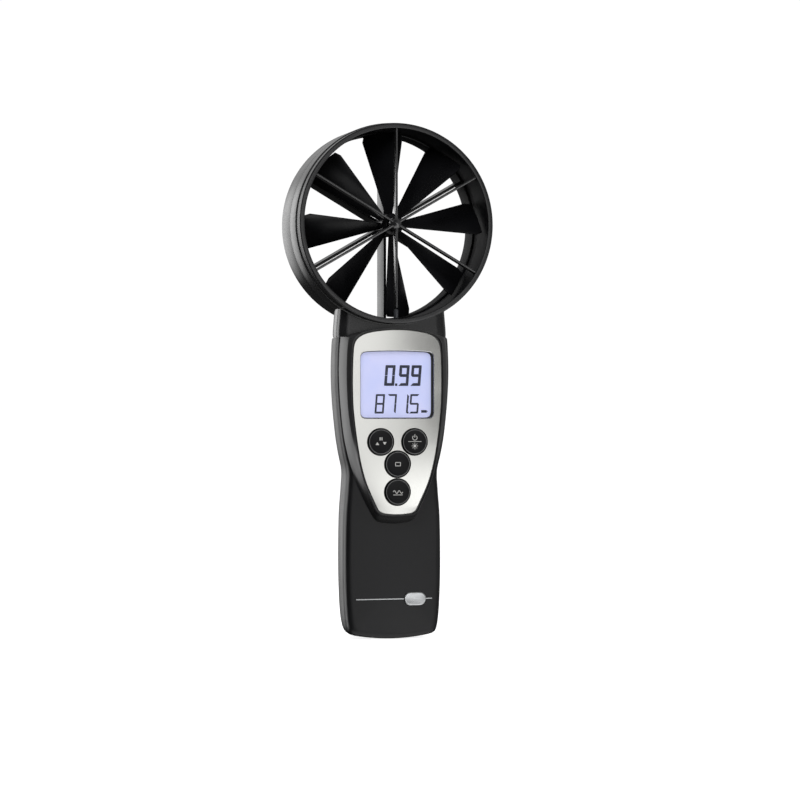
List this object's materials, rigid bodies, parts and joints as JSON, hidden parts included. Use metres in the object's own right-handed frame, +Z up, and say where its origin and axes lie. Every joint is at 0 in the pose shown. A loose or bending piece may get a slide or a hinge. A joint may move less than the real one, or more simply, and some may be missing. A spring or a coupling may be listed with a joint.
{
  "type": "vane anemometer",
  "caption": "Hand-held vane anemometer: a bladed rotor in a round duct between spoke guards, on a handle with a display, push buttons and a battery grip.",
  "frame": {"origin": "centre of the hand grip, on the plane where the two housing halves meet", "axes": "+Z up along the handle towards the vane, +Y to the back, +X to the right as the display is read"},
  "size_m": [0.1066, 0.0438, 0.2719],
  "materials": {
    "housing_black": "fine satin moulding texture",
    "vane_black": "smooth moulded",
    "bearing_brass": "turned",
    "bright_steel": "plain",
    "magnet_grey": "sintered",
    "sensor_grey": "potted epoxy",
    "lead_insulation": "soft insulation",
    "dark_rubber": "matt",
    "plate_silver": "satin silver",
    "window_clear": "clear polished",
    "display_lavender": "liquid crystal cell",
    "inner_white": "plain moulded",
    "board_green": "solder mask",
    "chip_black": "moulded",
    "part_ceramic": "small parts",
    "mat_rubber": "silicone",
    "button_black": "gloss cap with printed symbols",
    "battery_case": "painted wrap",
    "trim_metal": "fine brushed"
  },
  "bodies": {
    "housing": {"head_front_shell": "housing_black", "head_rear_shell": "housing_black", "front_guard": "vane_black", "rear_guard": "vane_black", "front_bearing": "bearing_brass", "rear_bearing": "bearing_brass", "pickup_sensor": "sensor_grey", "boss_cap": "vane_black", "temperature_sensor": "sensor_grey", "sensor_leads": "lead_insulation", "neck_seal": "dark_rubber", "head_screws": "bright_steel", "front_shell": "housing_black", "rear_shell": "housing_black", "display_surround": "housing_black", "keypad_plate": "plate_silver", "display_window": "window_clear", "display_glass": "display_lavender", "display_holder": "inner_white", "backlight": "inner_white", "contact_strips": "dark_rubber", "circuit_board": "board_green", "processor_chip": "chip_black", "board_parts": "part_ceramic", "key_mat": "mat_rubber", "board_screws": "bright_steel", "housing_screws": "bright_steel", "battery": "battery_case", "battery_connector": "chip_black", "battery_leads": "lead_insulation", "battery_pad": "dark_rubber", "trim_strip": "trim_metal", "blank_badge": "trim_metal"},
    "rotor_body": {"rotor": "vane_black", "rotor_shaft": "bright_steel", "rotor_magnet": "magnet_grey"},
    "button_left_body": {"button_left": "button_black"},
    "button_right_body": {"button_right": "button_black"},
    "button_upper_body": {"button_upper": "button_black"},
    "button_lower_body": {"button_lower": "button_black"},
    "battery_cover_body": {"battery_cover": "housing_black"}
  },
  "joints": [
    {"name": "rotor_spin", "type": "hinge", "parent": "housing", "child": "rotor_body", "pos_m": [0, 0, 0.175], "axis": [0, 1, 0], "continuous": true},
    {"name": "button_left_press", "type": "slide", "parent": "housing", "child": "button_left_body", "axis": [0, 1, 0], "range_m": [0, 0.0008], "stiffness_N_per_m": 700},
    {"name": "button_right_press", "type": "slide", "parent": "housing", "child": "button_right_body", "axis": [0, 1, 0], "range_m": [0, 0.0008], "stiffness_N_per_m": 700},
    {"name": "button_upper_press", "type": "slide", "parent": "housing", "child": "button_upper_body", "axis": [0, 1, 0], "range_m": [0, 0.0008], "stiffness_N_per_m": 700},
    {"name": "button_lower_press", "type": "slide", "parent": "housing", "child": "button_lower_body", "axis": [0, 1, 0], "range_m": [0, 0.0008], "stiffness_N_per_m": 700},
    {"name": "battery_cover_slide", "type": "slide", "parent": "housing", "child": "battery_cover_body", "axis": [0, 0, -1], "range_m": [0, 0.058]}
  ]
}
